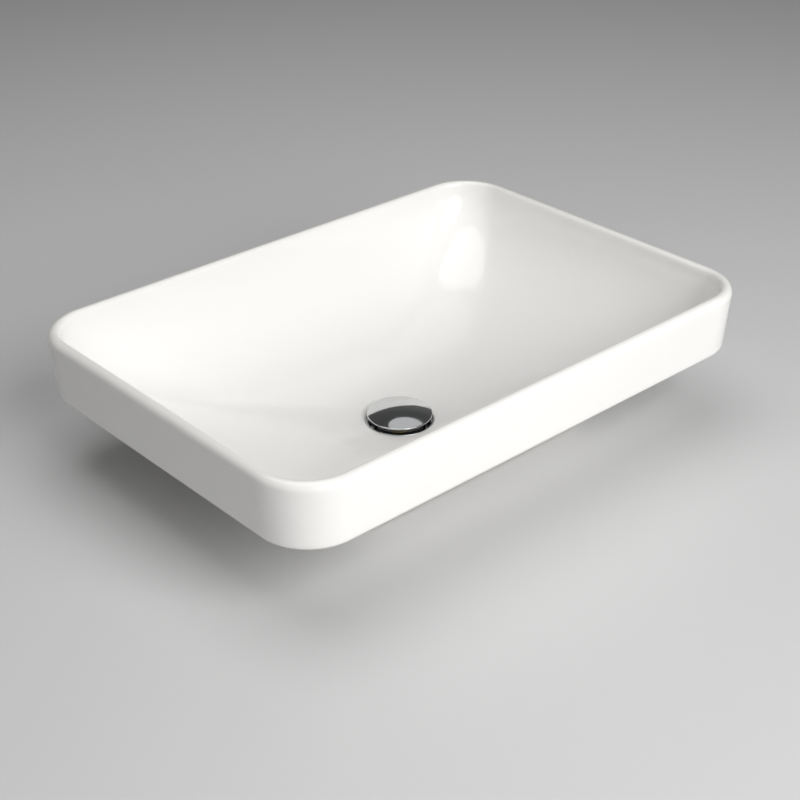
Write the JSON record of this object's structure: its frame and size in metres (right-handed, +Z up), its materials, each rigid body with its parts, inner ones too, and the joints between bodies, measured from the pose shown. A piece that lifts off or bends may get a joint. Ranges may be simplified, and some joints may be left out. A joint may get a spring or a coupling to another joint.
{
  "type": "countertop basin",
  "caption": "Rectangular glazed ceramic countertop basin with rounded corners, a deep bowl on a recessed foot ring and a push waste with a domed cap.",
  "frame": {"origin": "middle of the foot's lower face, on the counter, on the waste's axis", "axes": "+X along the long side, +Y from the front to the back, +Z up out of the counter"},
  "size_m": [0.5998, 0.4198, 0.2125],
  "materials": {
    "glaze": "gloss",
    "chrome_plate": "polished",
    "bare_brass": "satin",
    "rubber": "matte",
    "acetal": "satin",
    "washer_plastic": "satin",
    "spring_steel": "satin"
  },
  "bodies": {
    "basin": {"basin_body": "glaze", "waste_body": "chrome_plate", "flange_seal": "rubber", "tail_gasket": "rubber", "slip_washer": "washer_plastic", "backnut": "bare_brass", "barrel": "acetal", "wiper_ring": "rubber", "base_plug": "bare_brass", "plug_locknut": "bare_brass", "return_spring": "spring_steel"},
    "cap": {"waste_cap": "chrome_plate", "cap_seal": "rubber", "seal_carrier": "acetal", "cap_locknut": "bare_brass", "plunger": "bare_brass"},
    "rotor": {"latch_rotor": "acetal"}
  },
  "joints": [
    {"name": "cap_press", "type": "slide", "parent": "basin", "child": "cap", "axis": [0, 0, 1], "range_m": [-0.0044, 0], "stiffness_N_per_m": 1500, "springref_m": 0.008, "deforming": ["return_spring"]},
    {"name": "rotor_turn", "type": "hinge", "parent": "cap", "child": "rotor", "pos_m": [0, 0, 0.00485], "axis": [0, 0, 1], "range_deg": [0, 22.5]}
  ],
  "couplings": [
    {"joint": "rotor_turn", "follows": "cap_press", "rad_per_m": -89}
  ]
}
